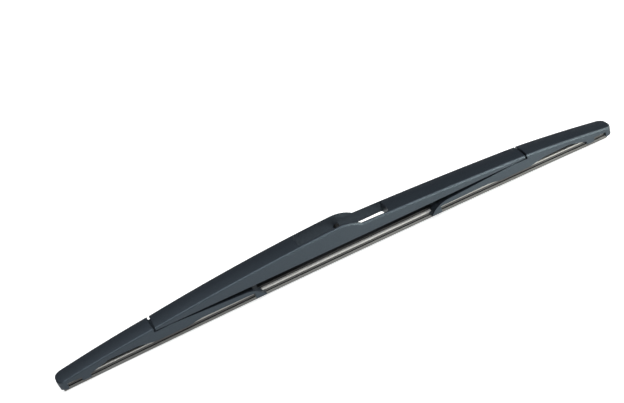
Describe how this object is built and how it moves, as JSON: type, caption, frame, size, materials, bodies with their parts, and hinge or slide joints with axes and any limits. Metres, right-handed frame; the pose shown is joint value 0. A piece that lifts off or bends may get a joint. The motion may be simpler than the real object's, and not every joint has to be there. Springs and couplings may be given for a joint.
{
  "type": "rear wiper blade",
  "caption": "Moulded rear wiper blade: arched bridge with an arm opening and cross pin, pivoting end levers with claws, spring strips and a rubber wiping element.",
  "frame": {"origin": "middle of the arm pin, on its axis", "axes": "+X along the blade towards its low half, +Y along the arm pin towards the rear wall, +Z away from the glass"},
  "size_m": [0.4044, 0.0174, 0.0309],
  "materials": {
    "plastic": "fine grained, near black",
    "pin_steel": "drawn steel",
    "rubber": "dull, graphite coated lip",
    "spring_steel": "plain rolled strip"
  },
  "bodies": {
    "bridge": {"main_bridge": "plastic", "arm_pin": "pin_steel", "rubber_element": "rubber", "front_flexor": "spring_steel", "rear_flexor": "spring_steel"},
    "left_lever": {"left_lever": "plastic"},
    "right_lever": {"right_lever": "plastic"}
  },
  "joints": [
    {"name": "left_pivot", "type": "hinge", "parent": "bridge", "child": "left_lever", "pos_m": [-0.124, 0, -0.0073], "axis": [0, -1, 0], "range_deg": [-2.5, 2.5], "stiffness_Nm_per_rad": 1, "deforming": ["rubber_element", "front_flexor", "rear_flexor"]},
    {"name": "right_pivot", "type": "hinge", "parent": "bridge", "child": "right_lever", "pos_m": [0.124, 0, -0.0073], "axis": [0, 1, 0], "range_deg": [-2.5, 2.5], "stiffness_Nm_per_rad": 1, "deforming": ["rubber_element", "front_flexor", "rear_flexor"]}
  ]
}
